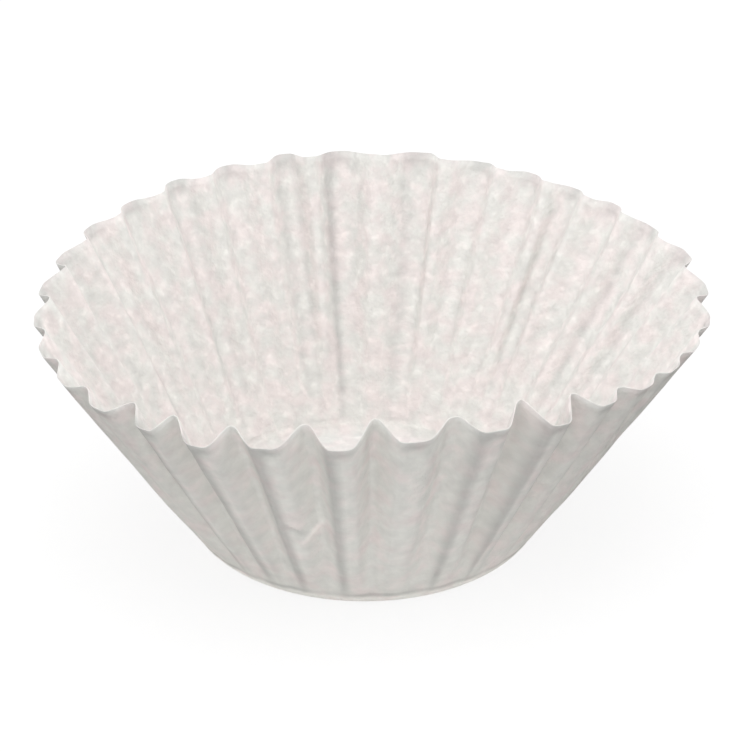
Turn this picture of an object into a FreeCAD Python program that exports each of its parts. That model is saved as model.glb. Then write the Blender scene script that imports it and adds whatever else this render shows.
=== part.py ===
import FreeCAD, Part
import math
import os

# A basket coffee filter: one round sheet of thin paper, pressed over a flat-bottomed form.
# The middle stays flat as the base, and the rest leans outward as the wall. The higher up
# the wall, the more spare paper there is, because the flat sheet is wider there than the
# cup. It stands in flutes, which start flat at the heel and are deepest at the cut edge.
# Folded paper lies in flat facets, so each side of the sheet is a net of them.
# Lengths are in millimetres and angles in degrees. The base rests on Z = 0, and the origin
# is under the middle of the rim. A turn round the cup is counted from the front, which is
# -Y, towards the right, which is +X.

# The sheet and the cup it is pressed into
PAPER_THICKNESS = 0.16
BASE_DIAMETER = 77.5        # to the corner where the planes of base and wall meet
SLANT_LENGTH = 66.0         # from that corner up the wall to the cut edge
WALL_LEAN = 61.5            # angle between the wall and the table
HEEL_RADIUS = 3.2           # bend from base to wall, at the middle of the paper

# The flutes: a broad outward fold and a narrow inward fold, joined by straight flanks
FLUTE_COUNT = 32
OUTWARD_FOLD_SHARE = 0.48   # part of the half pitch that the outward fold rounds off
INWARD_FOLD_SHARE = 0.24    # part of the half pitch that the inward fold rounds off
FIRST_FOLD_TURN = -4.2      # the outward fold nearest the front

# The press leaves the folds a little uneven. Each wave is its number of rises round the
# cup, its height, and the turn of its first rise. Spacing is in degrees.
SPACING_WAVES = ((1, 2.4, 17.0), (2, 2.2, 67.0), (3, 1.45, 15.0), (4, 1.6, 37.0), (5, 0.7, 48.0))
DEPTH_WAVES = ((3, 0.05, 15.0), (7, 0.04, 30.0))    # shares of the depth

# The thin wall leans a little more on some sides than on others
LEAN_TO_FRONT = -0.5
LEAN_TO_RIGHT = -2.3
LEAN_OVAL = 2.5
LEAN_DIAGONAL = 3.0

# How finely the sheet is divided into facets
OUTWARD_FOLD_STEPS = 3      # facets from the crown of an outward fold to its flank
INWARD_FOLD_STEPS = 2       # facets from the crown of an inward fold to its flank
HEEL_STEPS = 2
WALL_LEVELS = (0.0, 0.1, 0.35, 1.0)     # shares of the wall's height where facets end

lean = math.radians(WALL_LEAN)
base_radius = BASE_DIAMETER / 2
heel_reach = HEEL_RADIUS * math.tan(lean / 2)
flat_radius = base_radius - heel_reach

# An uneven lean moves the rim sideways, so the base stands off centre by as much
rim_height = SLANT_LENGTH * math.sin(lean)
base_x = rim_height * math.radians(LEAN_TO_RIGHT)
base_y = -rim_height * math.radians(LEAN_TO_FRONT)


def waves(table, turn):
    """Sum of the waves in the table at this turn."""
    total = 0.0
    for rises, height, first in table:
        total += height * math.cos(rises * math.radians(turn - first))
    return total


def local_lean(turn):
    """Lean of the wall at this turn, in radians."""
    t = math.radians(turn)
    uneven = LEAN_TO_FRONT * math.cos(t) + LEAN_TO_RIGHT * math.sin(t)
    uneven += LEAN_OVAL * math.cos(2 * t) + LEAN_DIAGONAL * math.sin(2 * t)
    return math.radians(WALL_LEAN + uneven)


def flank_slope(climb):
    """Slope of the flanks this far up the wall, found by halving, in radians.

    The folded paper has to be as long as the flat sheet is round there. Along one half
    pitch the two folds add their shares times slope / sin(slope), and the flank adds the
    rest over cos(slope).
    """
    wanted = (base_radius + climb) / (base_radius + climb * math.cos(lean))
    folds = OUTWARD_FOLD_SHARE + INWARD_FOLD_SHARE
    low, high = 0.001, math.radians(85.0)
    for _ in range(40):
        slope = (low + high) / 2
        if folds * slope / math.sin(slope) + (1 - folds) / math.cos(slope) < wanted:
            low = slope
        else:
            high = slope
    return slope


def half_flute(climb):
    """Section of half a flute, from the crown of an outward fold to that of an inward one.

    Each point is the share of the half pitch and how far outward of the middle it stands.
    """
    slope = flank_slope(climb)
    half_pitch = math.pi * (base_radius + climb * math.cos(lean)) / FLUTE_COUNT
    flank = (1 - OUTWARD_FOLD_SHARE - INWARD_FOLD_SHARE) * half_pitch * math.tan(slope)
    outward_drop = OUTWARD_FOLD_SHARE * half_pitch * math.tan(slope / 2)
    inward_drop = INWARD_FOLD_SHARE * half_pitch * math.tan(slope / 2)
    crown = (outward_drop + flank + inward_drop) / 2
    points = []
    for step in range(OUTWARD_FOLD_STEPS + 1):
        bend = slope * step / OUTWARD_FOLD_STEPS
        share = OUTWARD_FOLD_SHARE * math.sin(bend) / math.sin(slope)
        drop = outward_drop * (1 - math.cos(bend)) / (1 - math.cos(slope))
        points.append((share, crown - drop))
    for step in range(INWARD_FOLD_STEPS + 1):
        bend = slope * (1 - step / INWARD_FOLD_STEPS)
        share = INWARD_FOLD_SHARE * math.sin(bend) / math.sin(slope)
        drop = inward_drop * (1 - math.cos(bend)) / (1 - math.cos(slope))
        points.append((1 - share, drop - crown))
    return points


def fold_turn(number):
    """Turn of a fold's crown. Even numbers are outward folds, odd ones inward."""
    if number % 2:
        return (fold_turn(number - 1) + fold_turn(number + 1)) / 2
    even = 180.0 / FLUTE_COUNT * number
    return FIRST_FOLD_TURN + even + waves(SPACING_WAVES, even)


def place(turn, radius, height):
    """Point of the cup, from its turn, its distance from the base's axis and its height."""
    t = math.radians(turn)
    return FreeCAD.Vector(base_x + radius * math.sin(t), base_y - radius * math.cos(t), height)


def fluted_ring(climb):
    """Points round the wall this far up it, at the middle of the paper."""
    section = half_flute(climb)
    ring = []
    for number in range(2 * FLUTE_COUNT):
        start, end = fold_turn(number), fold_turn(number + 1)
        points = section if number % 2 == 0 else [(1 - x, n) for x, n in reversed(section)]
        for share, outward in points[:-1]:
            turn = start + share * (end - start)
            outward *= 1 + waves(DEPTH_WAVES, turn)
            local = local_lean(turn)
            radius = base_radius + climb * math.cos(local) + outward * math.sin(local)
            height = climb * math.sin(local) - outward * math.cos(local)
            ring.append(place(turn, radius, height + PAPER_THICKNESS / 2))
    return ring


def heel_ring(bend, turns):
    """Points round the heel, where the paper has bent this far up from the base."""
    radius = flat_radius + HEEL_RADIUS * math.sin(bend)
    height = HEEL_RADIUS * (1 - math.cos(bend)) + PAPER_THICKNESS / 2
    return [place(turn, radius, height) for turn in turns]


def ring_turns(ring):
    """The turn of each point of a ring."""
    return [math.degrees(math.atan2(p.x - base_x, base_y - p.y)) for p in ring]


def sheet_rings():
    """The middle of the sheet as rings of points, from the edge of the flat base to the rim."""
    wall_start = heel_reach
    wall_run = SLANT_LENGTH - wall_start
    wall = [fluted_ring(wall_start + share * wall_run) for share in WALL_LEVELS[1:]]
    turns = ring_turns(wall[0])
    heel = [heel_ring(lean * step / HEEL_STEPS, turns) for step in range(HEEL_STEPS + 1)]
    return heel + wall


def offset_rings(rings, distance):
    """The rings moved along the sheet's own normals, outward if the distance is positive."""
    moved = []
    last = len(rings) - 1
    count = len(rings[0])
    for level, ring in enumerate(rings):
        below, above = rings[max(level - 1, 0)], rings[min(level + 1, last)]
        row = []
        for i, point in enumerate(ring):
            along = ring[(i + 1) % count] - ring[i - 1]
            upward = above[i] - below[i]
            normal = along.cross(upward).normalize()
            if level == 0:
                normal = FreeCAD.Vector(0, 0, -1)
            row.append(point + normal * distance)
        moved.append(row)
    return moved


def facet(corners):
    """Flat face through its corners."""
    return Part.Face(Part.makePolygon(corners + corners[:1]))


def net(rings):
    """Facets between rings of points: two triangles for each step round and up."""
    facets = []
    count = len(rings[0])
    for low, high in zip(rings[:-1], rings[1:]):
        for i in range(count):
            j = (i + 1) % count
            facets.append(facet([low[i], low[j], high[j]]))
            facets.append(facet([low[i], high[j], high[i]]))
    return facets


def paper_filter():
    """The whole sheet as one closed solid."""
    middle = sheet_rings()
    outer = offset_rings(middle, PAPER_THICKNESS / 2)
    inner = offset_rings(middle, -PAPER_THICKNESS / 2)
    cut_edge = net([outer[-1], inner[-1]])
    skin = net(outer) + net(inner) + cut_edge + [facet(outer[0]), facet(inner[0])]
    shell = Part.makeCompound(skin)
    shell.sewShape()
    solid = Part.Solid(shell.Shells[0])
    if solid.Volume < 0:
        solid.reverse()
    return solid


os.makedirs("parts", exist_ok=True)
cup = paper_filter()
cup.exportStep("parts/paper_filter.step")
box = cup.BoundBox
print("solids", len(cup.Solids), "valid", cup.isValid(), "faces", len(cup.Faces))
print("volume mm3", round(cup.Volume, 1), "flank slope at the rim",
      round(math.degrees(flank_slope(SLANT_LENGTH)), 1))
print("x", round(box.XMin, 2), round(box.XMax, 2), "y", round(box.YMin, 2), round(box.YMax, 2),
      "z", round(box.ZMin, 2), round(box.ZMax, 2))
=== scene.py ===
import bpy
import numpy as np
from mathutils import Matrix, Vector


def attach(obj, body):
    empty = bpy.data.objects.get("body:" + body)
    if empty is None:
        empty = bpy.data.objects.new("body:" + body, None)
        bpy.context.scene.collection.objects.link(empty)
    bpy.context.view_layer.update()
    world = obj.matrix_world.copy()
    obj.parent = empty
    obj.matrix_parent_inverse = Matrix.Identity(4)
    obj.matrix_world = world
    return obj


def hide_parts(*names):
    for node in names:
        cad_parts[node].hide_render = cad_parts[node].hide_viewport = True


# %% [markdown]
# A paper coffee filter
#
# This lesson makes one sheet of filter paper, pressed into a fluted cup. On the real thing a
# round blank is pushed over a flat-bottomed form. The middle stays flat, and the rest stands up
# as a wall that has more paper than room, so it falls into flutes.
# It could be made by hand with loop cuts, or by cloth simulation. Here the shape follows from one
# rule about the paper's length, so it is worked out with numpy, as whole arrays.

# %% The frame
# The CAD model comes in first. Its box is the size that the picture model has to keep to.
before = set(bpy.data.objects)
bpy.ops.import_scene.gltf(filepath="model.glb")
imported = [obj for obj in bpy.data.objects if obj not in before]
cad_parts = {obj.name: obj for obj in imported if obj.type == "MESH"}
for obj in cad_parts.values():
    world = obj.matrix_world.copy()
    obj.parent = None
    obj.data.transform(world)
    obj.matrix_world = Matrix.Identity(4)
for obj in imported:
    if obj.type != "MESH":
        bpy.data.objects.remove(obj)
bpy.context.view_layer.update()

# %% [markdown]
# Sizes
#
# A flat filter is a disc 209.5 mm across. The few sizes here set the cup that it becomes, and
# everything else is worked out from them. Blender works in metres, so lengths that are easier to
# read in millimetres are multiplied by MM.

# %% The sheet and its cup
MM = 0.001
PAPER_THICKNESS = 0.16 * MM
BASE_RADIUS = 38.75 * MM        # to the corner where the planes of base and wall meet
SLANT_LENGTH = 66.0 * MM        # from that corner up the wall to the cut edge
WALL_LEAN = np.radians(61.5)    # between the wall and the table
HEEL_RADIUS = 3.2 * MM          # bend from base to wall
FLUTE_COUNT = 32

rim_radius = BASE_RADIUS + SLANT_LENGTH * np.cos(WALL_LEAN)
rim_height = SLANT_LENGTH * np.sin(WALL_LEAN)
heel_reach = HEEL_RADIUS * np.tan(WALL_LEAN / 2)
print("flat sheet across, mm", round(2 * (BASE_RADIUS + SLANT_LENGTH) / MM, 1),
      "rim radius", round(rim_radius / MM, 1), "rim height", round(rim_height / MM, 1))

# %% [markdown]
# An uneven cup
#
# Thin paper doesn't stand perfectly round. The wall leans more on some sides than on others, so
# the rim is a little oval and sits off the middle of the base. Proportional editing could pull
# the rim about by hand. Here a sum of cosine waves round the cup does it, because a few numbers
# say all of it, and a wave meets itself where it comes round. A wave that rises once moves the
# rim sideways, and one that rises twice makes it oval. Each wave is a number of rises, a height
# in degrees, and the turn of its first rise. Turns are counted from the front to the right.

# %% Waves in the lean of the wall
LEAN_WAVES = ((1, 2.35, 257.7), (2, 3.9, 25.1))


def waves(table, turn):
    """Sum over the table of height times the cosine of rises times (turn less first), in
    degrees, for a whole array of turns."""
    turn = np.asarray(turn, float)
    return sum(height * np.cos(rises * np.radians(turn - first)) for rises, height, first in table)


sideways = LEAN_WAVES[0]
base_x = rim_height * np.radians(sideways[1]) * np.sin(np.radians(sideways[2]))
base_y = -rim_height * np.radians(sideways[1]) * np.cos(np.radians(sideways[2]))
print("base axis, mm", round(base_x / MM, 2), round(base_y / MM, 2))

# %% [markdown]
# Where the folds are
#
# Folds alternate: an outward one, an inward one, and so on. An Array modifier would space them
# evenly, which looks like a machine part and not like paper. So the outward folds are spaced by
# waves too, and an inward fold lies midway between its neighbours. The eye goes to the folds at
# the front and to a few at the back, so those are then set one by one: a little to the side, and a
# little outward or inward at the rim.

# %% Turns of the folds
FIRST_FOLD_TURN = -4.2          # degrees
SPACING_WAVES = ((1, 2.4, 17.0), (2, 2.2, 67.0), (3, 1.45, 15.0), (4, 1.6, 37.0), (5, 0.7, 48.0))
HAND_SET = {            # number of the fold: degrees to the right, millimetres outward
    58: (0.2, 0.1), 59: (-2.2, 0.5), 60: (-0.1, 0.9), 61: (-2.2, 0.9), 62: (-0.4, -0.6),
    63: (-0.7, -0.9), 0: (0.1, -0.5), 1: (-0.4, -1.7), 2: (-0.3, -1.4), 3: (1.3, 0.1),
    4: (0.9, -1.1), 5: (2.1, -0.8), 6: (-0.3, 1.2), 7: (0.6, 1.0),
    30: (-0.9, 0.0), 32: (-1.5, 0.3), 33: (1.0, 0.0), 34: (2.6, 0.5), 35: (2.2, 0.0)}

fold_number = np.arange(2 * FLUTE_COUNT + 1)
even_turn = 180.0 / FLUTE_COUNT * fold_number
fold_turn = FIRST_FOLD_TURN + even_turn + waves(SPACING_WAVES, even_turn)
fold_turn[1::2] = (fold_turn[0:-1:2] + fold_turn[2::2]) / 2
fold_push = np.zeros(2 * FLUTE_COUNT + 1)
for number, (sideways_nudge, outward_nudge) in HAND_SET.items():
    fold_turn[number] += sideways_nudge
    fold_push[number] = outward_nudge * MM
fold_turn[-1] = fold_turn[0] + 360
fold_push[-1] = fold_push[0]
print("folds", len(fold_number) - 1, "first turns", fold_turn[:5].round(1))

# %% [markdown]
# The section of a flute
#
# Cut across the wall, a flute is a broad flat-topped fold outward, a straight flank, and a
# narrow fold inward. Rather than draw that curve, this says how steep the paper is along it:
# level at both crowns, as steep as it gets on the flank, and eased between. Adding up the
# steepness gives the curve. Some folds are rounded and some are pressed to a corner, so there
# are two such sections, a soft one and a crisp one.

# %% How steep the paper is along half a flute
SECTION_STEPS = 240
SOFT_SECTION = (0.08, 0.52, 0.70)       # shares of half a flute where the crown's flat ends,
CRISP_SECTION = (0.27, 0.42, 0.84)      # where the flank starts and where it ends
LATE_BEND = 1.5         # above 1, the paper stays steep for longer before the inward crown
share = np.linspace(0.0, 1.0, SECTION_STEPS + 1)


def eased(x):
    """0 below 0, 1 above 1, and between them three x squared less two x cubed."""
    x = np.clip(x, 0.0, 1.0)
    return x * x * (3 - 2 * x)


def steepness(crown_flat, flank_start, flank_end):
    """Eased from 0 to 1 before the flank, and back to 0 after it, as shares of its slope."""
    rise = eased((share - crown_flat) / (flank_start - crown_flat))
    return rise * (1 - eased((share - flank_end) / (1 - flank_end)) ** LATE_BEND)


soft, crisp = steepness(*SOFT_SECTION), steepness(*CRISP_SECTION)
print("mean steepness", round(float(soft.mean()), 3), round(float(crisp.mean()), 3))

# %% [markdown]
# How deep the flutes are
#
# The cut edge of the flat sheet is longer than the rim of the cup. Nothing is cut away, so the
# spare length goes into the flutes and says how deep a full one is at every height. A depth set
# by eye would make the paper stretch or shrink on its way up. Half the gap between too low and
# too high is taken again and again until the folded length is right.

# %% Slope of the flanks, from the paper's length
LEAST_SLOPE, MOST_SLOPE = 0.001, 1.45       # radians, between which the slope is looked for
HALVINGS = 40


def flank_slope(climb, section):
    """The slope at which the mean of 1 over the cosine of (slope times steepness) equals the
    sheet's length round there over the cup's, for an array of distances up the wall."""
    wanted = (BASE_RADIUS + climb) / (BASE_RADIUS + climb * np.cos(WALL_LEAN))
    low, high = np.full(climb.shape, LEAST_SLOPE), np.full(climb.shape, MOST_SLOPE)
    for _ in range(HALVINGS):
        slope = (low + high) / 2
        folded = (1 / np.cos(slope[:, None] * section)).mean(axis=1)
        low = np.where(folded < wanted, slope, low)
        high = np.where(folded < wanted, high, slope)
    return slope


def flute_sections(climb, section):
    """For each distance up the wall, how far the section stands outward at every share of half
    a flute: the running sum of the tangent of the slope times half the pitch, counted from the
    middle of the flute's depth."""
    half_pitch = np.pi * (BASE_RADIUS + climb * np.cos(WALL_LEAN)) / FLUTE_COUNT
    fall = np.tan(flank_slope(climb, section)[:, None] * section)
    fall = (fall[:, 1:] + fall[:, :-1]) / 2 * half_pitch[:, None] / SECTION_STEPS
    fallen = np.concatenate([np.zeros((len(climb), 1)), np.cumsum(fall, axis=1)], axis=1)
    return fallen[:, -1:] / 2 - fallen


rim_only = np.array([SLANT_LENGTH])
for section in (soft, crisp):
    at_rim = flute_sections(rim_only, section)[0]
    print("flute depth at the rim, mm", round((at_rim[0] - at_rim[-1]) / MM, 2), "slope",
          round(float(np.degrees(flank_slope(rim_only, section))[0]), 1))

# %% [markdown]
# The grid of the sheet
#
# The sheet is a grid with two parameters: how far round, counted in folds, and how far out from
# the middle of the blank. Columns run up the folds, 13 to each half flute, and rows run round. A
# cylinder with loop cuts would be such a grid as well, but with its points evenly spread. Here
# the columns are evenly spaced along the folded paper, so they are closer together on a steep
# flank, seen from above. The rows are close together at the heel, where the paper bends, and at
# a small crease. A running sum of how close they should be gives their places.

# %% Rows and columns
HALF_FLUTE_COLUMNS = 13
WALL_ROWS = 50
HEEL_ROWS = 4
BASE_ROWS = 3
CREASE_CLIMB = 29.0 * MM
HEEL_CROWD = (5, 2.5 * MM)      # how much closer the rows are there, and over what climb
CREASE_CROWD = (1.5, 5 * MM)
SPACED_AT = 0.6                 # of the way up the wall, where the columns are even
FINE_STEPS = 800

columns = 2 * FLUTE_COUNT * HALF_FLUTE_COLUMNS
along = np.arange(columns) / HALF_FLUTE_COLUMNS
fold = np.floor(along).astype(int)
part = along - fold
blank_turn = fold_turn[fold] + part * (fold_turn[fold + 1] - fold_turn[fold])

spacing_climb = np.array([SPACED_AT * SLANT_LENGTH])
paper_run = sum(1 / np.cos(flank_slope(spacing_climb, section) * section)
                for section in (soft, crisp))
paper_run = np.cumsum(paper_run) - paper_run[0]
section_share = np.where(fold % 2 == 0, part, 1 - part)
section_share = np.interp(section_share, paper_run / paper_run[-1], share)
across = np.where(fold % 2 == 0, section_share, 1 - section_share)
turn = fold_turn[fold] + across * (fold_turn[fold + 1] - fold_turn[fold])

flat_radius = BASE_RADIUS - heel_reach
fine_climb = np.linspace(heel_reach, SLANT_LENGTH, FINE_STEPS)
crowding = (1 + HEEL_CROWD[0] * np.exp(-((fine_climb - heel_reach) / HEEL_CROWD[1]) ** 2)
            + CREASE_CROWD[0] * np.exp(-((fine_climb - CREASE_CLIMB) / CREASE_CROWD[1]) ** 2))
crowded = np.cumsum(crowding)
wall_climb = np.interp(np.linspace(crowded[0], crowded[-1], WALL_ROWS + 1), crowded, fine_climb)
heel_bend = np.linspace(0.0, 1.0, HEEL_ROWS + 1)[1:-1] * WALL_LEAN
base_radii = np.linspace(0.0, flat_radius, BASE_ROWS + 1)[1:]
print("columns", columns, "rows", len(base_radii) + len(heel_bend) + len(wall_climb))

# %% [markdown]
# Hand-made unevenness
#
# A press leaves no two flutes alike. Every fold gets its own depth and drifts a little sideways
# on its way up, and every half flute is softer or crisper than the next, most of all at the
# front. Sculpt mode could do that, one flute at a time. Random numbers are quicker, and their
# fixed seed makes the same cup each time. What can be seen from afar is given in turns and shares
# instead: at the sides and the back the wall has been pulled open, so its flutes are shallower.

# %% Differences from fold to fold
DEPTH_WAVES = ((3, 0.05, 15.0), (7, 0.04, 30.0))    # shares of the depth
DEPTH_ROUND = ((-180, 0.75), (-155, 0.5), (-115, 0.5), (-95, 0.7), (-78, 0.35), (-57, 0.42),
               (-42, 0.9), (41, 1.0), (56, 0.28), (80, 0.25), (95, 0.7), (115, 0.5), (150, 0.45),
               (180, 0.75))     # turn and share of the depth
DEPTH_SPREAD = 0.04             # share of the depth
DRIFT_SPREAD = 0.9              # degrees
MOST_CRISP = 0.8                # share of the crisp section that a half flute can take
BACK_SOFTENING = 0.6            # how much of that is lost at the back
BACK_SPAN = (90, 25)            # degrees from the back: where it ends, and over how many it eases

dice = np.random.default_rng(11)
fold_depth = 1 + DEPTH_SPREAD * dice.standard_normal(2 * FLUTE_COUNT)
fold_drift = DRIFT_SPREAD * dice.standard_normal(2 * FLUTE_COUNT)
fold_depth = np.append(fold_depth, fold_depth[0])
fold_drift = np.append(fold_drift, fold_drift[0])
half_crispness = dice.uniform(0.0, MOST_CRISP, 2 * FLUTE_COUNT)
at_back = eased((BACK_SPAN[0] - abs(fold_turn % 360 - 180)) / BACK_SPAN[1])
half_crispness *= 1 - BACK_SOFTENING * at_back[:-1]


def between_folds(values):
    """One value for each column, eased from each fold's value to the next one's."""
    return values[fold] + eased(part) * (values[fold + 1] - values[fold])


column_depth = between_folds(fold_depth) * (1 + waves(DEPTH_WAVES, turn))
column_depth *= np.interp((turn + 180) % 360 - 180, *zip(*DEPTH_ROUND))
column_drift = between_folds(fold_drift)
column_push = between_folds(fold_push)
column_crispness = half_crispness[fold]
print("depth of the flutes, shares", column_depth.min().round(2), "to", column_depth.max().round(2))

# %% [markdown]
# A cut edge that isn't quite level
#
# The blanks are cut in a thick pile, and the blade wanders, so the rim isn't a perfect line. At
# the back it stands up a little at each outward fold. Pulling up the last ring of points alone
# would stretch one row of faces. So a number for each column says how much longer the paper is
# there, and the rows near the rim share it out.

# %% Longer and shorter columns
OUTWARD_RISE, INWARD_RISE = 1.0, -0.1       # shares of the rise, at the two kinds of fold
LEAST_RISE, MOST_RISE, LAST_RISE = 0.5, 1.1, 0.8        # millimetres
BLADE_WAVER = 0.12 * MM
BLADE_RISES = (43, 17)          # of its two waves round the cup, which are multiplied

edge_rise = np.where(fold_number % 2 == 0, OUTWARD_RISE, INWARD_RISE) * np.append(
    dice.uniform(LEAST_RISE, MOST_RISE, 2 * FLUTE_COUNT), LAST_RISE)
edge_rise = edge_rise * at_back * MM
quick_ease = eased(across * 1.6 - 0.3)      # so it stays level for a while at each fold
column_rise = edge_rise[fold] + quick_ease * (edge_rise[fold + 1] - edge_rise[fold])
column_rise += (BLADE_WAVER * np.cos(np.radians(turn) * BLADE_RISES[0])
                * np.cos(np.radians(turn) * BLADE_RISES[1] + 1))
print("cut edge rises by up to, mm", round(float(column_rise.max()) / MM, 2))

# %% [markdown]
# Ripples and a crease
#
# Soft ripples run over the paper between the folds. A Displace modifier with a cloud texture
# would give them, after the thickness. Here they are many standing waves added up, each too low
# to be seen by itself, and they move the sheet before it gets its two skins. One flute at the
# front is nicked by a small slanting crease, which is a ridge with a groove beside it.

# %% Ripples in the paper
RIPPLES = 26
RIPPLE_HEIGHT = 0.10 * MM
ripple_turns = dice.integers(9, 70, RIPPLES)        # rises round the cup
ripple_climbs = dice.uniform(8, 60, RIPPLES)        # millimetres from rise to rise, up the wall
ripple_starts = dice.uniform(0, 2 * np.pi, (2, RIPPLES))


def ripples(turn, climb):
    """Sum of standing waves, each a cosine round the cup times a cosine up the wall, over the
    square root of their number."""
    total = np.zeros(np.broadcast(turn, climb).shape)
    for rises, tall, first in zip(ripple_turns, ripple_climbs, ripple_starts.T):
        total += (np.cos(rises * np.radians(turn) + first[0])
                  * np.cos(2 * np.pi * climb / (tall * MM) + first[1]))
    return RIPPLE_HEIGHT * total / np.sqrt(RIPPLES)


every_ripple = ripples(turn, wall_climb[:, None]) / MM
print("ripples, mm", every_ripple.min().round(2), "to", every_ripple.max().round(2))

# %% The crease at the front
CREASE_TURN = -12.6             # degrees
CREASE_DEPTH = 0.45 * MM
RIDGE = (0.0, 0.0, 3.6, 0.75, 50.0)     # millimetres right and up, half length and half width,
GROOVE = (-3.2, 2.6, 3.2, 0.7, -48.0)   # and degrees above level


def streak(turn, climb, right, high, length, width, slant):
    """Two bell curves multiplied: a long one along a slanting line and a short one across it."""
    slant = np.radians(slant)
    away = (turn - CREASE_TURN + 180) % 360 - 180
    across = np.radians(away) * (BASE_RADIUS + climb * np.cos(WALL_LEAN))
    across, up = across / MM - right, (climb - CREASE_CLIMB) / MM - high
    along_line = across * np.cos(slant) + up * np.sin(slant)
    off_line = -across * np.sin(slant) + up * np.cos(slant)
    return np.exp(-(along_line / length) ** 2 - (off_line / width) ** 2)


def crease(turn, climb):
    """Depth times the ridge's streak less the groove's."""
    return CREASE_DEPTH * (streak(turn, climb, *RIDGE) - streak(turn, climb, *GROOVE))


whole_crease = crease(turn, wall_climb[:, None]) / MM
print("crease, mm", whole_crease.min().round(2), "to", whole_crease.max().round(2))

# %% [markdown]
# The pressed heel
#
# Just above the bend the press nips the paper, which leaves a faint ring: a shallow groove round
# the bottom of the wall. A loop cut pulled inward would make it the same all round. A bell curve
# times a few waves is deeper in some places than in others, as the pressed ring is.

# %% The ring above the heel
NIP_CLIMB = 1.5 * MM
NIP_WIDTH = 0.65 * MM
NIP_DEPTH = 0.06 * MM
NIP_WAVES = ((2, 0.2, 40.0), (7, 0.3, 10.0), (13, 0.5, 3.0))


def nip(turn, climb):
    """A bell curve up the wall, times one plus the waves round the cup."""
    bell = np.exp(-((climb - heel_reach - NIP_CLIMB) / NIP_WIDTH) ** 2)
    return bell * (1 + waves(NIP_WAVES, turn))


deepest = NIP_DEPTH * nip(turn, heel_reach + NIP_CLIMB) / MM
print("ring's groove, mm deep", deepest.min().round(3), "to", deepest.max().round(3))

# %% [markdown]
# The middle of the sheet
#
# The parts so far now meet in one surface without thickness. A Screw modifier could turn a
# profile into a cup, but only one that is the same all round. So each ring of points is placed
# from its turn, its distance from the base's axis and its height. On the wall, "outward" is
# square to the leaning wall, so a point that stands outward is also a little lower. The base and
# the heel are plain rings.

# %% Rings of points
FLUTE_START = 0.2               # of the easing in, where the wall starts
FLUTE_GROWTH = 26 * MM          # climb that a whole easing takes
RIPPLE_GROWTH = 14 * MM
RISE_POWER, PUSH_POWER = 8, 1.5         # powers: the higher, the closer it keeps to the rim


def placed(turn, radius, height):
    """The base's axis, plus the radius times the sine of the turn to the right and less the
    radius times its cosine, which is towards the front, at a height."""
    t = np.radians(turn)
    return np.stack(np.broadcast_arrays(base_x + radius * np.sin(t),
                                        base_y - radius * np.cos(t), height), axis=-1)


def wall_rings(climb):
    """The distance climbed times the cosine and the sine of the lean, outward and up, plus the
    flute's section times the sine outward and less it times the cosine up, which is square to
    the wall. The section is a blend of soft and crisp, made shallower, with the ripples, the
    crease and the groove added."""
    as_soft, as_crisp = [
        np.stack([np.interp(section_share, share, row)
                  for row in flute_sections(climb[:, 0], kind)]) for kind in (soft, crisp)]
    outward = as_soft + column_crispness * (as_crisp - as_soft)
    crown = outward.max(axis=1, keepdims=True)
    outward = crown - column_depth * (crown - outward)
    outward = outward * eased(FLUTE_START + climb / FLUTE_GROWTH)
    grown = (climb - heel_reach) / (SLANT_LENGTH - heel_reach)
    climb = climb + column_rise * grown ** RISE_POWER
    outward = outward + column_push * grown ** PUSH_POWER
    outward = outward + eased(climb / RIPPLE_GROWTH) * ripples(turn, climb)
    outward = outward + crease(turn, climb) - NIP_DEPTH * nip(turn, climb)
    lean = WALL_LEAN + np.radians(waves(LEAN_WAVES, turn))
    radius = BASE_RADIUS + climb * np.cos(lean) + outward * np.sin(lean)
    height = climb * np.sin(lean) - outward * np.cos(lean)
    drifted = turn + column_drift * np.sin(np.pi * grown) * grown
    return placed(drifted, radius, height + PAPER_THICKNESS / 2)


def heel_rings(bend):
    """An arc from base to wall: the heel's radius times the sine of the bend outward, and times
    one less its cosine upward."""
    radius = flat_radius + HEEL_RADIUS * np.sin(bend)
    return placed(turn, radius, HEEL_RADIUS * (1 - np.cos(bend)) + PAPER_THICKNESS / 2)


wall = wall_rings(wall_climb[:, None])
heel = heel_rings(heel_bend[:, None])
base = placed(turn, base_radii[:, None], np.full((1, 1), PAPER_THICKNESS / 2))
middle = np.concatenate([base, heel, wall])
print("rings", middle.shape, "height mm", round(float(middle[..., 2].max()) / MM, 2))

# %% [markdown]
# Two skins and a cut edge
#
# Paper has thickness, and light shows it at the cut edge. The middle surface is moved half a
# thickness to each side along its own normals, which come from the cross product of the
# directions round and up. The Solidify modifier would do the same, but worked out here the two
# skins share one grid: up the outside, over the edge, and down the inside.

# %% The closed mesh


def normals(rings):
    """Cross product of the step round and the step up, each taken across two neighbours."""
    around = np.roll(rings, -1, axis=1) - np.roll(rings, 1, axis=1)
    up = np.gradient(rings, axis=0)
    cross = np.cross(around, up)
    return cross / np.linalg.norm(cross, axis=-1, keepdims=True)


normal = normals(middle)
normal[:BASE_ROWS] = (0.0, 0.0, -1.0)
outside = middle + normal * PAPER_THICKNESS / 2
inside = middle - normal * PAPER_THICKNESS / 2
rows = len(middle)
grid = np.concatenate([outside, inside[::-1]])
poles = np.array([[base_x, base_y, 0.0], [base_x, base_y, PAPER_THICKNESS]])
points = np.concatenate([grid.reshape(-1, 3), poles])

number = np.arange(2 * rows * columns).reshape(2 * rows, columns)
beside = np.roll(number, -1, axis=1)
quads = np.stack([number[:-1], beside[:-1], beside[1:], number[1:]], axis=-1).reshape(-1, 4)
first_pole, last_pole = 2 * rows * columns, 2 * rows * columns + 1
bottom_fan = np.stack([np.full(columns, first_pole), beside[0], number[0]], axis=-1)
top_fan = np.stack([np.full(columns, last_pole), number[-1], beside[-1]], axis=-1)

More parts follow.
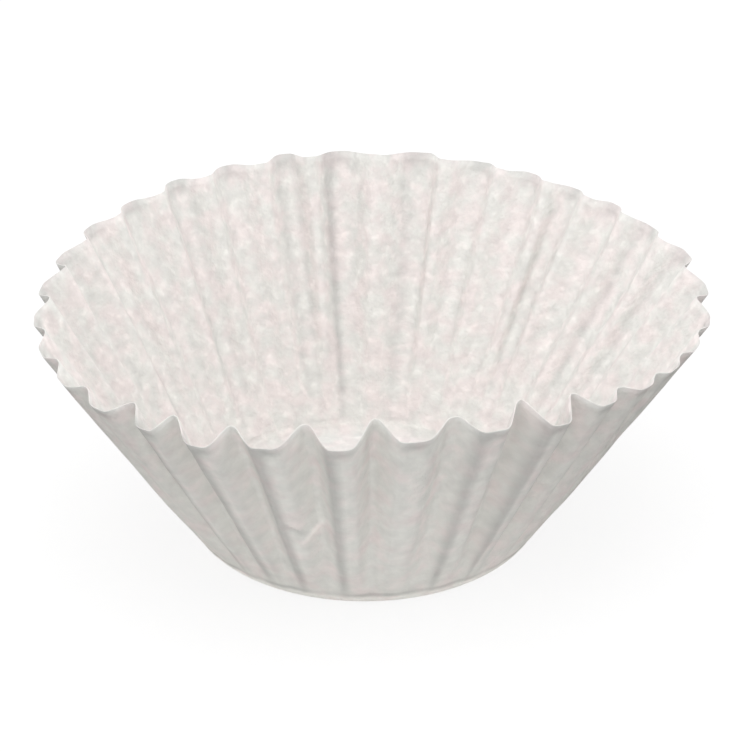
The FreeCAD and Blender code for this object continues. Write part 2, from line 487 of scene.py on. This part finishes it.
mesh = bpy.data.meshes.new("paper_cup")
mesh.from_pydata(points.tolist(), [], quads.tolist() + bottom_fan.tolist() + top_fan.tolist())
smooth = np.ones(len(mesh.polygons), dtype=bool)
smooth[(rows - 1) * columns:rows * columns] = False
mesh.polygons.foreach_set("use_smooth", smooth)
mesh.validate()
print("faces", len(mesh.polygons), "triangles", 2 * len(quads) + 2 * columns)

# %% [markdown]
# The blank as a UV map
#
# The crinkles and clouds of the paper were there before it was pressed, when it was flat. So the
# UV map is the flat blank itself: each point keeps the place that it had on the disc, in metres.
# A pattern on these coordinates then goes round every fold as the real one does. Blender's own
# unwrapping would cut the cup into islands, and the pattern would jump at their borders.

# %% Places on the flat blank
wall_out = BASE_RADIUS + wall_climb
heel_out = flat_radius + heel_bend * HEEL_RADIUS
blank_radius = np.concatenate([base_radii, heel_out, wall_out])
blank_radius = np.concatenate([blank_radius, blank_radius[::-1]])[:, None]
blank = np.stack([blank_radius * np.sin(np.radians(blank_turn)),
                  -blank_radius * np.cos(np.radians(blank_turn))], axis=-1).reshape(-1, 2)
blank = np.concatenate([blank, np.zeros((2, 2))])
loop_vertex = np.empty(len(mesh.loops), dtype=np.int32)
mesh.loops.foreach_get("vertex_index", loop_vertex)
blank_map = mesh.uv_layers.new(name="flat_blank")
blank_map.data.foreach_set("uv", blank[loop_vertex].astype(np.float32).ravel())
filter_cup = bpy.data.objects.new("paper_cup", mesh)
bpy.context.collection.objects.link(filter_cup)
print("blank across, mm", round(2 * float(blank_radius.max()) / MM, 1))

# %% [markdown]
# Painted shade and light
#
# The paper's colour is painted darker where shade falls and lighter where light falls. Painted
# shade lies on the two corners of each flat-topped fold, on some more than on others, and in the
# ring above the heel. Painted shadow lies at the tips of those folds, and the crease gets painted
# shade in its groove and a painted highlight on its ridge. The ring shows on the outside only. The
# bend below it is painted a little lighter, and the base, seen from inside, a little darker. Vertex
# paint could mark them by hand. Here a number for each point says how much shade or light is
# painted there, worked out from the same measures as the shape, so that line and fold agree. It
# is kept on the mesh as an attribute for the material to read. A second one says which side of
# the sheet a point is on. The inside, which is lit, is given stronger clouds, lighter specks and
# more pink than the outside, which is in shade, so the two sides are a lit and a shaded copy of
# the paper.

# %% Painted shade and light along the folds
CORNER_SHARE = 0.33             # of half a flute, from the outward crown
CORNER_WIDTH = 0.2
LEAST_CORNER, CORNER_SPREAD = 0.1, 0.4
# Folds whose corners get the darkest painted shade.
DARKEST_PAINTED_CORNERS = {34: 1.0, 57: 1.0, 59: 1.2, 61: 1.3, 63: 1.1, 3: 1.0, 5: 1.1}     # listed
CORNER_GROWTH = 12 * MM
TIP_PAINTED_SHADOW = 1.1                 # painted shadow at the tips, which are this far below the cut edge, this high
TIP_DROP, TIP_HEIGHT = 1.2 * MM, 1.6 * MM
TIP_WIDTH = 0.36                # and this wide, as a share of half a flute
# Painted highlight on the crease's ridge, painted shade in the ring above the heel, and painted
# light in the bend below it.
RIDGE_PAINTED_HIGHLIGHT = RING_PAINTED_SHADE = BEND_PAINTED_LIGHT = 0.9
BEND_HEIGHT = 0.9 * MM
INSIDE_BASE_PAINTED_SHADE = 0.4              # painted shade on the base, seen from inside
# How much of the lit copy of the paper each side gets: the outside is in shade, the inside is lit.
SHADED_OUTSIDE, LIT_INSIDE = 0.2, 1.0

# Painted shade along the two corners of each flat-topped fold, darker on some folds than on others.
corner_painted_shade = LEAST_CORNER + CORNER_SPREAD * dice.uniform(0.0, 1.0, 2 * FLUTE_COUNT) ** 2
for number, strength in DARKEST_PAINTED_CORNERS.items():
    corner_painted_shade[number] = strength
corner_shade_paint = corner_painted_shade[fold] * np.exp(-((section_share - CORNER_SHARE) / CORNER_WIDTH) ** 2)
climb = wall_climb[:, None]
wall_painted_shading = corner_shade_paint * eased(climb / CORNER_GROWTH)
# Painted shade in the crease's groove and a painted highlight on its ridge.
wall_painted_shading += streak(turn, climb, *GROOVE) - RIDGE_PAINTED_HIGHLIGHT * streak(turn, climb, *RIDGE)
# Painted shadow at the tips of the outward folds, just under the cut edge.
tip_painted_shadow = np.exp(-((climb - SLANT_LENGTH + TIP_DROP) / TIP_HEIGHT) ** 2)
wall_painted_shading += TIP_PAINTED_SHADOW * tip_painted_shadow * np.exp(-(section_share / TIP_WIDTH) ** 2)
# Painted light in the bend at the foot of the wall, painted shade in the ring above it.
bend_painted_light = np.exp(-((climb - heel_reach) / BEND_HEIGHT) ** 2)
heel_painted_shading = RING_PAINTED_SHADE * nip(turn, climb) - BEND_PAINTED_LIGHT * bend_painted_light
# No paint on the base's outside, painted light on the heel, painted shade on the base seen from
# inside.
base_painted_shading = np.zeros((BASE_ROWS - 1, columns))
heel_painted_light = np.full((HEEL_ROWS, columns), -1.0)
inside_painted_shade_rows = np.full((BASE_ROWS + HEEL_ROWS - 1, columns), INSIDE_BASE_PAINTED_SHADE)
painted_light_and_shade = np.concatenate([base_painted_shading, heel_painted_light, wall_painted_shading + heel_painted_shading,
                        wall_painted_shading[::-1], inside_painted_shade_rows]).ravel()
# Painted shade where the number is above 0, painted light where it is below 0.
painted_shading = mesh.attributes.new(name="painted_shading", type="FLOAT", domain="POINT")
painted_shading.data.foreach_set("value", np.append(painted_light_and_shade, (0.0, INSIDE_BASE_PAINTED_SHADE)).astype(np.float32))
# Which side of the sheet each point is on: 1 on the inside, which is lit, and less on the outside,
# which is in shade.
lit_side_values = np.repeat([SHADED_OUTSIDE, LIT_INSIDE], rows * columns)
lit_side = mesh.attributes.new(name="lit_side", type="FLOAT", domain="POINT")
lit_side.data.foreach_set("value", np.append(lit_side_values, (SHADED_OUTSIDE, LIT_INSIDE)).astype(np.float32))
print("pressed from", round(float(painted_light_and_shade.min()), 2), "to", round(float(painted_light_and_shade.max()), 2))

# %% [markdown]
# Filter paper
#
# Filter paper is soft, unglazed and slightly see-through. It has no gloss to speak of. Held to
# the light its fibres lie in clouds, a little pinker here and greyer there, and the whole sheet is
# creped, which means finely crinkled. Thin paper also lets light through, so the shaded side
# glows a little. The Principled BSDF gives the surface, a Translucent BSDF the light from behind.
# A photograph of paper could be laid on it, but noise on the blank has no edges and never repeats.
# The painted shade and light along the folds is multiplied into it.

# %% Helpers for the nodes


def add_node(tree, kind, inputs=None, **settings):
    """A node of this kind, with its settings and the values of its inputs."""
    node = tree.nodes.new(kind)
    for name, value in settings.items():
        setattr(node, name, value)
    for name, value in (inputs or {}).items():
        node.inputs[name].default_value = value
    return node


def mottle(tree, where, scale, detail, rough, seed_shift):
    """Cloudy noise on the flat blank, with this many clouds to the metre (scale). It is moved
    by the last number, in metres, so that no two patterns match."""
    place = add_node(tree, "ShaderNodeMapping", {"Location": (seed_shift, -seed_shift, 0)})
    noise = add_node(tree, "ShaderNodeTexNoise", {"Scale": scale, "Detail": detail,
                                                  "Roughness": rough})
    tree.links.new(where, place.inputs["Vector"])
    tree.links.new(place.outputs["Vector"], noise.inputs["Vector"])
    return noise.outputs["Fac"]


# %% The paper's colour, from clouds of fibre and painted light and shade
PINK_CLOUD = (0.895, 0.843, 0.828, 1)
GREEN_CLOUD = (0.858, 0.852, 0.826, 1)
TINT_SPAN = (0.39, 0.61)        # of the noise, from the one colour to the other
SHADED_SIDE_PINK = 0.84                # how much of the pink is left on the outside, which is in shade
CLOUD_SPAN = (0.3, 0.7)         # of the noise, from the darkest cloud to the lightest
CLOUD_DARK, LIT_SIDE_DARK = 0.955, -0.06       # tone of the darkest, and what the lit inside adds to it
CLOUD_LIGHT = 1.04              # tone of the lightest
SPECK_SPAN = (0.56, 0.72)
SPECK_LIGHT = 0.08              # what a speck on the lit inside adds to the tone
PAINTED_SHADE_GREY = 0.80             # of the paper's colour, where the painted shade is darkest

paper = bpy.data.materials.new("filter_paper")
paper.use_nodes = True
tree = paper.node_tree
tree.nodes.clear()
link = tree.links.new
flat = add_node(tree, "ShaderNodeUVMap", uv_map="flat_blank").outputs["UV"]

tint = mottle(tree, flat, 170.0, 2.0, 0.5, 3.0)
tint_ramp = add_node(tree, "ShaderNodeValToRGB")
for stop, position, colour in zip(tint_ramp.color_ramp.elements, TINT_SPAN,
                                  (GREEN_CLOUD, PINK_CLOUD)):
    stop.position = position
    stop.color = colour
# The lit inside is given more pink, stronger clouds and lighter specks than the shaded outside:
# painted light and shade.
lit_side_here = add_node(tree, "ShaderNodeAttribute", attribute_name="lit_side").outputs["Fac"]
less_pink = add_node(tree, "ShaderNodeMapRange", {"To Min": SHADED_SIDE_PINK, "To Max": 1.0})
link(lit_side_here, less_pink.inputs["Value"])
tint_here = add_node(tree, "ShaderNodeMath", operation="MULTIPLY")
link(tint, tint_here.inputs[0])
link(less_pink.outputs["Result"], tint_here.inputs[1])
link(tint_here.outputs["Value"], tint_ramp.inputs["Fac"])

clouds = mottle(tree, flat, 320.0, 3.0, 0.55, 7.0)
cloud_range = add_node(tree, "ShaderNodeMapRange", {"From Min": CLOUD_SPAN[0],
                                                   "From Max": CLOUD_SPAN[1],
                                                   "To Max": CLOUD_LIGHT})
link(clouds, cloud_range.inputs["Value"])
# The darkest clouds are darker on the lit inside than on the shaded outside.
cloud_dark = add_node(tree, "ShaderNodeMath", {1: LIT_SIDE_DARK, 2: CLOUD_DARK},
                      operation="MULTIPLY_ADD")
link(lit_side_here, cloud_dark.inputs[0])
link(cloud_dark.outputs["Value"], cloud_range.inputs["To Min"])
# Painted shade and light: the colour is made darker where the attribute is above 0, and lighter
# where it is below 0, by up to a fifth.
painted_shading_range = add_node(tree, "ShaderNodeMapRange", {"From Min": -1.0, "From Max": 1.0,
                                                   "To Min": 2 - PAINTED_SHADE_GREY,
                                                   "To Max": PAINTED_SHADE_GREY})
link(add_node(tree, "ShaderNodeAttribute", attribute_name="painted_shading").outputs["Fac"],
     painted_shading_range.inputs["Value"])
speck_range = add_node(tree, "ShaderNodeMapRange", {"From Min": SPECK_SPAN[0],
                                                   "From Max": SPECK_SPAN[1], "To Min": 1.0})
link(mottle(tree, flat, 440.0, 1.0, 0.4, 11.0), speck_range.inputs["Value"])
# Specks are lighter on the lit inside than on the shaded outside.
speck_light = add_node(tree, "ShaderNodeMath", {1: SPECK_LIGHT, 2: 1.0}, operation="MULTIPLY_ADD")
link(lit_side_here, speck_light.inputs[0])
link(speck_light.outputs["Value"], speck_range.inputs["To Max"])
tone = add_node(tree, "ShaderNodeMath", operation="MULTIPLY")
link(cloud_range.outputs["Result"], tone.inputs[0])
link(painted_shading_range.outputs["Result"], tone.inputs[1])
specked = add_node(tree, "ShaderNodeMath", operation="MULTIPLY")
link(tone.outputs["Value"], specked.inputs[0])
link(speck_range.outputs["Result"], specked.inputs[1])
tinted = add_node(tree, "ShaderNodeMix", {"Factor": 1.0}, data_type="RGBA", blend_type="MULTIPLY")
link(tint_ramp.outputs["Color"], tinted.inputs[6])
grey = add_node(tree, "ShaderNodeCombineColor")
for channel in ("Red", "Green", "Blue"):
    link(specked.outputs["Value"], grey.inputs[channel])
link(grey.outputs["Color"], tinted.inputs[7])
print("colour nodes", len(tree.nodes))

# %% The crepe, as bump
CREPE_STRENGTH = 0.65
CREPE_HEIGHT = 0.40 * MM

crepe = mottle(tree, flat, 900.0, 3.0, 0.6, 1.0)
dimples = mottle(tree, flat, 330.0, 2.0, 0.5, 5.0)
relief = add_node(tree, "ShaderNodeMath", operation="ADD")
link(crepe, relief.inputs[0])
link(dimples, relief.inputs[1])
bump = add_node(tree, "ShaderNodeBump", {"Strength": CREPE_STRENGTH,
                                         "Distance": CREPE_HEIGHT})
link(relief.outputs["Value"], bump.inputs["Height"])
print("crepe height, mm", round(CREPE_HEIGHT / MM, 2), "nodes so far", len(tree.nodes))

# %% Surface and light from behind
LIGHT_THROUGH = 0.30
SHEEN = 0.2
ROUGHNESS = (0.82, 0.98)        # in the darkest cloud and in the lightest

surface = add_node(tree, "ShaderNodeBsdfPrincipled", {"Specular IOR Level": SHEEN})
dullness = add_node(tree, "ShaderNodeMapRange", {"From Min": CLOUD_SPAN[0],
                                                "From Max": CLOUD_SPAN[1],
                                                "To Min": ROUGHNESS[0], "To Max": ROUGHNESS[1]})
link(clouds, dullness.inputs["Value"])
link(dullness.outputs["Result"], surface.inputs["Roughness"])
through = add_node(tree, "ShaderNodeBsdfTranslucent")
blend = add_node(tree, "ShaderNodeMixShader", {"Fac": LIGHT_THROUGH})
output = add_node(tree, "ShaderNodeOutputMaterial")
link(tinted.outputs[2], surface.inputs["Base Color"])
link(tinted.outputs[2], through.inputs["Color"])
link(bump.outputs["Normal"], surface.inputs["Normal"])
link(bump.outputs["Normal"], through.inputs["Normal"])
link(surface.outputs["BSDF"], blend.inputs[1])
link(through.outputs["BSDF"], blend.inputs[2])
link(blend.outputs["Shader"], output.inputs["Surface"])
mesh.materials.append(paper)
print("paper nodes", len(tree.nodes))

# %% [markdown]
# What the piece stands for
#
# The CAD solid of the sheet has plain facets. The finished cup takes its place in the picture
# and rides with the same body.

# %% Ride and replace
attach(filter_cup, "root")
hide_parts("paper_filter")
print(filter_cup.name, "rides on root in place of paper_filter")

# %% [markdown]
# Floor and background
#
# A product picture on white still needs a floor, or the object floats. The floor is a large pale
# disc. For the camera it is mostly white of its own, with a weak diffuse part that takes the
# cup's soft shadow. For all other light it is matt paint: pale in a strip in front of the cup and
# behind it, as a card laid there would be, and dark at the left and right. The outside of the
# cup leans over the floor and is lit mostly by it, so this gives the cup's sides a darker edge.

# %% The floor
FLOOR_RADIUS = 6.0
FLOOR_CORNERS = 96
CARD_PAINT = (0.72, 0.73, 0.72, 1)
SIDE_PAINT = (0.12, 0.12, 0.12, 1)
CARD_EDGE = (0.04, 0.085)       # metres from the card's middle, where the paint changes
CARD_TO_LEFT = 0.010            # metres
SHADOW_SHARE = 0.18             # of the light on the floor that the camera sees come back
FLOOR_GLOW = 0.81               # white of the floor's own, for the camera

floor_turn = np.linspace(0, 2 * np.pi, FLOOR_CORNERS, endpoint=False)
floor_points = np.stack([FLOOR_RADIUS * np.cos(floor_turn), FLOOR_RADIUS * np.sin(floor_turn),
                         np.zeros(FLOOR_CORNERS)], axis=-1)
floor_mesh = bpy.data.meshes.new("floor")
floor_mesh.from_pydata(floor_points.tolist(), [], [list(range(FLOOR_CORNERS))])
floor = bpy.data.objects.new("floor", floor_mesh)
bpy.context.collection.objects.link(floor)


def seen_directly(tree):
    """1 for rays from the camera and for those off gloss or through glass, 0 for the rest."""
    ray = add_node(tree, "ShaderNodeLightPath")
    first = add_node(tree, "ShaderNodeMath", operation="MAXIMUM")
    second = add_node(tree, "ShaderNodeMath", operation="MAXIMUM")
    tree.links.new(ray.outputs["Is Camera Ray"], first.inputs[0])
    tree.links.new(ray.outputs["Is Glossy Ray"], first.inputs[1])
    tree.links.new(first.outputs["Value"], second.inputs[0])
    tree.links.new(ray.outputs["Is Transmission Ray"], second.inputs[1])
    return second.outputs["Value"]


floor_paint = bpy.data.materials.new("floor_paint")
floor_paint.use_nodes = True
tree = floor_paint.node_tree
tree.nodes.clear()
link = tree.links.new
paint = add_node(tree, "ShaderNodeBsdfDiffuse")
on_floor = add_node(tree, "ShaderNodeSeparateXYZ")
link(add_node(tree, "ShaderNodeTexCoord").outputs["Object"], on_floor.inputs["Vector"])
on_card = add_node(tree, "ShaderNodeMath", {1: CARD_TO_LEFT}, operation="ADD")
link(on_floor.outputs["X"], on_card.inputs[0])
off_middle = add_node(tree, "ShaderNodeMath", operation="ABSOLUTE")
link(on_card.outputs["Value"], off_middle.inputs[0])
off_card = add_node(tree, "ShaderNodeMapRange", {"From Min": CARD_EDGE[0],
                                                "From Max": CARD_EDGE[1]})
link(off_middle.outputs["Value"], off_card.inputs["Value"])
floor_colour = add_node(tree, "ShaderNodeMix", {6: CARD_PAINT, 7: SIDE_PAINT}, data_type="RGBA")
link(off_card.outputs["Result"], floor_colour.inputs["Factor"])
link(floor_colour.outputs[2], paint.inputs["Color"])
faint = add_node(tree, "ShaderNodeBsdfDiffuse", {"Color": (SHADOW_SHARE,) * 3 + (1,)})
glow = add_node(tree, "ShaderNodeEmission", {"Color": (1, 1, 1, 1), "Strength": FLOOR_GLOW})
white = add_node(tree, "ShaderNodeAddShader")
choice = add_node(tree, "ShaderNodeMixShader")
output = add_node(tree, "ShaderNodeOutputMaterial")
link(faint.outputs["BSDF"], white.inputs[0])
link(glow.outputs["Emission"], white.inputs[1])
link(seen_directly(tree), choice.inputs["Fac"])
link(paint.outputs["BSDF"], choice.inputs[1])
link(white.outputs["Shader"], choice.inputs[2])
link(choice.outputs["Shader"], output.inputs["Surface"])
floor_mesh.materials.append(floor_paint)
print("floor radius, m", FLOOR_RADIUS)

# %% [markdown]
# Soft light
#
# The sky of the scene is an even white that fills the shadows, and one wide lamp over the cup
# makes the inside brighter than the outside, which leans over the floor and faces it. The camera
# sees the sky as plain white. The paper sees it a little brighter than that. A studio would use
# several softboxes, but a round white thing needs no more than these two.

# %% The sky
SKY_LIGHT = 1.1
scene = bpy.context.scene
world = bpy.data.worlds.new("soft_sky")
world.use_nodes = True
scene.world = world
tree = world.node_tree
tree.nodes.clear()
link = tree.links.new
sky = add_node(tree, "ShaderNodeBackground", {"Color": (1, 1, 1, 1), "Strength": SKY_LIGHT})
backdrop = add_node(tree, "ShaderNodeBackground", {"Color": (1, 1, 1, 1), "Strength": 1.0})
choice = add_node(tree, "ShaderNodeMixShader")
output = add_node(tree, "ShaderNodeOutputWorld")
link(seen_directly(tree), choice.inputs["Fac"])
link(sky.outputs["Background"], choice.inputs[1])
link(backdrop.outputs["Background"], choice.inputs[2])
link(choice.outputs["Shader"], output.inputs["Surface"])
print("sky", SKY_LIGHT, "and 1.0 for the camera")

# %% The lamp over the cup
LAMP_PLACE = Vector((0.0, -0.15, 1.0))
LAMP_SIZE = 1.0                 # metres
LAMP_POWER = 4.6                # watts

middle_of_cup = Vector((base_x, base_y, rim_height / 2))
light = bpy.data.lights.new("overhead", "AREA")
light.shape = "SQUARE"
light.size = LAMP_SIZE
light.energy = LAMP_POWER
lamp = bpy.data.objects.new("overhead", light)
lamp.location = LAMP_PLACE
lamp.rotation_euler = (middle_of_cup - LAMP_PLACE).to_track_quat("-Z", "Y").to_euler()
bpy.context.collection.objects.link(lamp)

# %% [markdown]
# The camera
#
# The picture was taken from well back with a long lens, looking down by some 29 degrees. The
# camera stands on a sphere round the middle of the cup. It aims a little to the right of the
# middle and above it, because the cup isn't quite in the middle of the picture.

# %% A long lens
PICTURE_WIDTH = 752             # pixels
FOCAL_PIXELS = 4064.4           # focal length, in the same pixels
CAMERA_DISTANCE = 0.924         # metres
CAMERA_ELEVATION = np.radians(29.41)
MIDDLE_IN_PICTURE = (364.7, 404.4)      # pixels from the left and from the top
SENSOR_WIDTH = 36.0             # millimetres

camera_data = bpy.data.cameras.new("camera")
camera_data.sensor_width = SENSOR_WIDTH
camera_data.lens = FOCAL_PIXELS / PICTURE_WIDTH * SENSOR_WIDTH
camera = bpy.data.objects.new("camera", camera_data)
away = Vector((0.0, -np.cos(CAMERA_ELEVATION), np.sin(CAMERA_ELEVATION)))
above = Vector((0.0, np.sin(CAMERA_ELEVATION), np.cos(CAMERA_ELEVATION)))
per_pixel = CAMERA_DISTANCE / FOCAL_PIXELS
aim_right = (PICTURE_WIDTH / 2 - MIDDLE_IN_PICTURE[0]) * per_pixel
aim_above = (MIDDLE_IN_PICTURE[1] - PICTURE_WIDTH / 2) * per_pixel
camera.location = middle_of_cup + away * CAMERA_DISTANCE
aim = middle_of_cup + Vector((aim_right, 0, 0)) + above * aim_above
camera.rotation_euler = (aim - camera.location).to_track_quat("-Z", "Y").to_euler()
bpy.context.collection.objects.link(camera)
scene.camera = camera
scene.view_settings.view_transform = "Standard"
print("lens, mm", round(camera_data.lens, 1), "camera", [round(v, 3) for v in camera.location])
